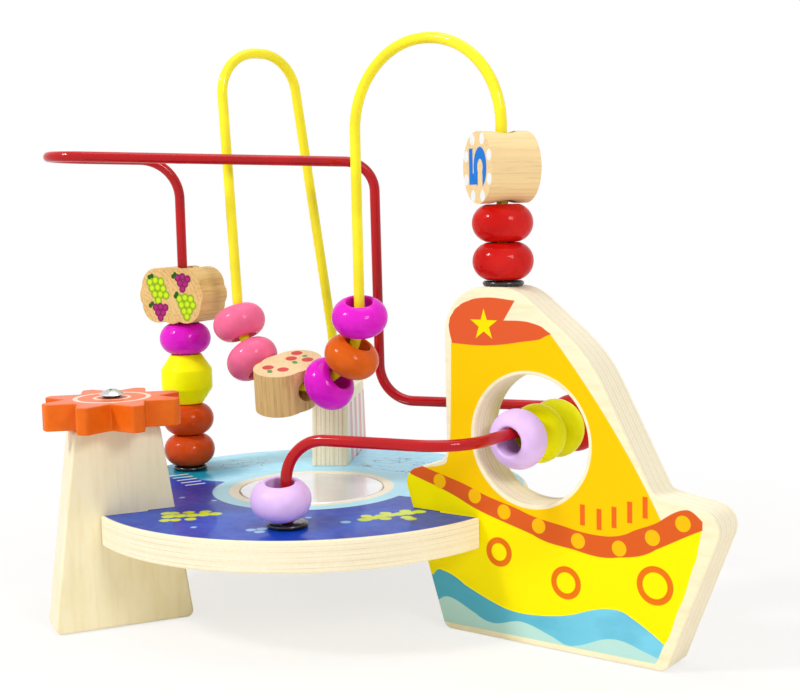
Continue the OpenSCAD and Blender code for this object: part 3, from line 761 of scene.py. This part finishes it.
def platform_outline():
    """A disc with a mouth for each panel, its corners rounded."""
    half, soft = PANEL_THICK / 2 + 0.15, 1.5
    rim_x = math.sqrt((PLATFORM_RADIUS - soft) ** 2 - (half + soft) ** 2)
    open_at = math.degrees(math.atan2(half + soft, rim_x))
    outline = []
    for at in (BOAT_TURN, TOWER_TURN, GEAR_PANEL_TURN):
        mouth = arc((rim_x, -half - soft), soft, -open_at, 90, 10) + [(LAP, -half), (LAP, half)]
        mouth += arc((rim_x, half + soft), soft, -90, open_at, 10)
        mouth += arc((0, 0), PLATFORM_RADIUS, open_at, 120 - open_at, 48)[1:-1]
        turn = Matrix.Rotation(math.radians(at), 2)
        outline += [tuple(turn @ Vector(p)) for p in mouth]
    return outline


platform = drilled(sawn(platform_outline(), PLATFORM_THICK), (0, 0, PLATFORM_THICK / 2), RECESS_RADIUS, 4)
platform = moved(softened(platform, 1.1), around(placed(0, 0, PLATFORM_MIDDLE)))
done(platform, "platform", STAND, platform_finish(), True)

mirror = turned([(0, 0), (32.7, 0), (32.8, 0.1), (32.8, 1.7), (32.5, 2), (0, 2)], 128)
done(moved(mirror, around(placed(0, 0, PLATFORM_TOP - 2))), "mirror", STAND, mirror_finish())


# Gear, washer and screw

def gear_outline():
    """Eight teeth with straight flanks and worn tips."""
    corners = []
    for i in range(8):
        for turn, reach, worn in ((-4.75, 30.5, 1.8), (4.75, 30.5, 1.8), (22.5, 20, 1.0)):
            a = math.radians(45 * i + turn)
            corners.append((reach * math.cos(a), reach * math.sin(a), worn))
    return rounded(corners, 15)


gear = softened(drilled(sawn(gear_outline(), GEAR_THICK), (0, 0, 0), 2.3, 30), 1.2)
gear = moved(gear, around(placed(*GEAR_SPOT, GEAR_MIDDLE), (24.2, "Z")))
done(gear, "gear", "gear", gear_finish(), True)

washer = turned(rounded([(2.2, 0, 0.1), (4, 0, 0.3), (4, 1, 0.3), (2.2, 1, 0.1)], 30), 64)
done(moved(washer, around(placed(*GEAR_SPOT, GEAR_TOP + 0.3))), "gear_washer", STAND,
     metal("washer_dark_steel", tint(96, 96, 98), 0.35))

dome = arc((0, -5.1), 7.5, 90, 42.84, 12)
screw = turned(dome + [(2, 0), (2, -33), (0.6, -35), (0, -35)], 64)
for cross_turn in (0, 90):
    notched(screw, (0, 0, 2.6), (4.4, 1, 2.8), cross_turn)
done(moved(screw, around(placed(*GEAR_SPOT, GEAR_TOP + 1.3), (30, "Z"))), "gear_screw", STAND,
     metal("screw_bright_steel", tint(206, 206, 204), 0.24))


# Wires and ferrules

red_wire = bent([(*POST, 39), (*POST, 202.5), (-120, -42, 204.5), (-95, -68, 204.5), (10, 40, 199),
                 (11, 39.5, 86.5), (114.5, 67, 86.5), (114.5, -46, 86.5), (*FRONT, 86.5), (*FRONT, 39)],
                [19, 18, 18, 14, 17, 14, 22, 18])
done(red_wire, "red_wire", STAND, coated_wire("wire_red_coat", tint(184, 10, 18)))
yellow_wire = bent([(*MAST, 134.5), (*MAST, 248), (30.8, 0, 248), (30.8, 0, 97), (-40.7, 0, 97),
                    (-48.8, 0, 252), (-38.9, 38.9, 252), (*TOWER, 112), (*TOWER, 75)],
                   [37, 37, 36, 36, 20, 20, 80])
done(yellow_wire, "yellow_wire", STAND, coated_wire("wire_yellow_coat", tint(255, 240, 36)))

ferrule_paint = black_plastic()
ferrule_shape = [(2.6, 0), (7.4, 0)] + arc((7.4, 1.1), 1.1, -90, 90, 10)[1:] + [(2.9, 2.2), (2.6, 1.9)]
ferrule_pattern = turned(ferrule_shape, 64)
for node, spot in (("post_ferrule", (*POST, PLATFORM_TOP)), ("front_ferrule", (*FRONT, PLATFORM_TOP)),
                   ("mast_ferrule", (*MAST, CABIN_TOP)), ("tower_ferrule", (*TOWER, TOWER_TOP))):
    ferrule = moved(copied(ferrule_pattern), around(placed(*spot)))
    done(ferrule, node, STAND, ferrule_paint)
bpy.data.objects.remove(ferrule_pattern)


# Beads

paints = {
    "orange": lacquer("bead_orange_paint", tint(208, 72, 8)),
    "dip_orange": lacquer("bead_bright_orange_paint", tint(224, 98, 10)),
    "yellow": lacquer("barrel_yellow_paint", tint(255, 252, 0), coat=0.0),
    # The same yellow made darker: painted shade for the strand's back bead
    "yellow_in_shade": lacquer("bead_yellow_painted_shade", tint(238, 236, 0), coat=0.0),
    "magenta": lacquer("bead_magenta_paint", tint(222, 20, 200)),
    "red": lacquer("bead_red_paint", tint(200, 10, 3)),
    "pink": lacquer("bead_pink_paint", tint(240, 108, 150)),
    "lilac": lacquer("bead_lilac_paint", tint(226, 192, 248), 0.42, 0.0, 0.3),
}

# A round belly that runs into a small lip at each end of the bore
LIP_SPOT, LIP_RADIUS = (6.7, 6.678), 0.9
BELLY_SPOT, BELLY_RADIUS = (4.6, 0), 7.9
lip_turn = math.degrees(math.atan2(LIP_SPOT[1], LIP_SPOT[0] - BELLY_SPOT[0]))
bead_shape = arc(BELLY_SPOT, BELLY_RADIUS, -lip_turn, lip_turn, 28)
bead_shape += arc(LIP_SPOT, LIP_RADIUS, lip_turn, 180, 6)[1:]
bead_shape += arc((LIP_SPOT[0], -LIP_SPOT[1]), LIP_RADIUS, 180, 360 - lip_turn, 6)[:-1]
bead_pattern = turned(bead_shape)


def bead(node, slot, paint, *turns):
    copy = moved(copied(bead_pattern), around(middle_of(node), *turns))
    done(copy, node, node, paints[paint])


LEAN_AXIS = Vector((math.sin(math.radians(53)), math.cos(math.radians(53)), 0))
bead("post_bead_orange_low", "orange_paint", "orange")
bead("post_bead_orange_high", "orange_paint", "orange")
bead("post_bead_magenta", "magenta_paint", "magenta")
bead("mast_bead_red_low", "red_paint", "red")
bead("mast_bead_red_high", "red_paint", "red")
bead("front_bead_lilac", "lilac_paint", "lilac", (10, LEAN_AXIS))
bead("dip_bead_magenta_high", "magenta_paint", "magenta", (20, LEAN_AXIS), (1, "Y"))
bead("dip_bead_orange", "orange_paint", "dip_orange", (31.01, "Y"))
bead("dip_bead_magenta_low", "magenta_paint", "magenta", (61.02, "Y"))
bead("dip_bead_pink_low", "pink_paint", "pink", (140.99, "Y"))
bead("dip_bead_pink_high", "pink_paint", "pink", (14, Vector((0, -1, 0))), (171, "Y"))
bead("strand_bead_lilac", "lilac_paint", "lilac", (90, "X"))
bead("strand_bead_yellow_front", "yellow_paint", "yellow", (90, "X"))
# The strand's back yellow bead takes the darker copy of the yellow, painted shade
bead("strand_bead_yellow_back", "yellow_paint", "yellow_in_shade", (90, "X"))
bead("strand_bead_red", "red_paint", "red", (90, "X"))
bpy.data.objects.remove(bead_pattern)

barrel_shape = rounded([(BORE_RADIUS, -12.2, 0.6), (7.5, -12.2, 0.8), (12.5, -4.7, 2.0), (12.5, 4.7, 2.0),
                        (7.5, 12.2, 0.8), (BORE_RADIUS, 12.2, 0.6)], 12)
barrel = moved(turned(barrel_shape), around(middle_of("post_barrel_yellow")))
done(barrel, "post_barrel_yellow", "post_barrel_yellow", paints["yellow"])


# Printed blocks

def cloud_outline(discs, count=160):
    """The outline round some joined discs, seen from their middle."""
    outline = []
    for k in range(count):
        way = Vector((math.cos(2 * math.pi * k / count), math.sin(2 * math.pi * k / count)))
        reach = 0
        for u, v, radius in discs:
            aside = way.x * v - way.y * u
            if abs(aside) < radius:
                reach = max(reach, way.x * u + way.y * v + math.sqrt(radius ** 2 - aside ** 2))
        outline.append(tuple(way * reach))
    return outline


ACROSS, ENDWAYS = (math.radians(90), 0, 0), (0, math.radians(90), 0)


def block(node, outline, thick, bore_turn, place, finish):
    """A block sawn to an outline, drilled for its wire and softened."""
    piece = drilled(sawn(outline, thick), (0, 0, 0), BORE_RADIUS, 60, bore_turn)
    done(moved(softened(piece, 1.2), place), node, node, finish, True)


BERRY_HEIGHT = 27.5
lobe, bulge = BERRY_HEIGHT / 4, BERRY_HEIGHT / 3
tall, wide = BERRY_HEIGHT / 2 - lobe, 19 - lobe
berry_discs = [(0, tall, lobe), (0, -tall, lobe), (wide, 0, lobe), (-wide, 0, lobe)]
berry_discs += [(a * (17.6 - bulge), b * (13.35 - bulge), bulge) for a in (-1, 1) for b in (-1, 1)]
block("berry_block", cloud_outline(berry_discs), BLOCK_THICK, ACROSS,
      around(middle_of("berry_block"), (90, "X"), (BERRY_TURN, "Z")), berry_finish())

CHERRY_WIDTH, CHERRY_LENGTH = 12.5, 18
lobe = 0.9 * CHERRY_WIDTH
tall = CHERRY_LENGTH - lobe
cherry_outline = cloud_outline([(0, 0, CHERRY_WIDTH), (0, tall, lobe), (0, -tall, lobe)])
block("cherry_block", cherry_outline, BLOCK_THICK, ENDWAYS,
      around(placed(*CHERRY_SPOT), *CHERRY_TURNS), cherry_finish())

block("number_block", arc((0, 0), 14.5, 0, 357, 119), NUMBER_THICK, ACROSS,
      around(middle_of("number_block"), (90, "X"), (NUMBER_TURN, "Z")), number_finish())


# Floor and light

WHITE = (1, 1, 1, 1)


def lay_floor():
    """White paper that keeps a soft shadow near the toy and fades into the background."""
    bpy.ops.object.select_all(action="DESELECT")
    bpy.ops.mesh.primitive_plane_add(size=6, location=(0, 0, -0.0003))
    floor = bpy.context.object
    floor.name = "floor"
    f = Finish("floor_paper")
    speck = f.noise(0.2)
    f.finish(f.mix(tint(248, 244, 238), tint(243, 238, 231), speck), 0.75)
    reach = f.from_point(f.flat(f.x, f.y), 60, 0)
    share = f.span(reach, 130, 380, 0.7, 1.0) * f.seen()
    glow = f.node("ShaderNodeEmission", {}, {"Color": WHITE, "Strength": 1.0})
    f.blend(share, Value(f, f.shader.outputs[0]), glow, "Material Output")
    floor.data.materials.append(f.material)


def hang_light(spot, target, size, power):
    bpy.ops.object.light_add(type="AREA", location=spot)
    lamp = bpy.context.object
    lamp.data.size = size
    lamp.data.energy = power
    lamp.rotation_euler = (Vector(target) - Vector(spot)).to_track_quat("-Z", "Y").to_euler()


def light_studio():
    """A soft room that looks white, with a lamp from each side and one from above."""
    world = bpy.data.worlds.new("studio")
    bpy.context.scene.world = world
    world.use_nodes = True
    room = Nodes(world.node_tree)
    room.tree.nodes.remove(room.tree.nodes["Background"])
    soft, white = (room.node("ShaderNodeBackground", {}, {"Color": WHITE, "Strength": strength})
                   for strength in (0.44, 1.0))
    room.blend(room.seen(), soft, white, "World Output")
    hang_light((-0.55, -0.75, 0.85), (-0.1, 0, 0.1), 0.2, 6.9)
    hang_light((0.75, -0.35, 0.6), (-0.05, 0, 0.1), 0.26, 3.2)
    hang_light((-0.1, 0.1, 1.15), (-0.1, 0, 0), 0.7, 3.5)


lay_floor()
light_studio()
bpy.context.scene.view_settings.view_transform = "Standard"
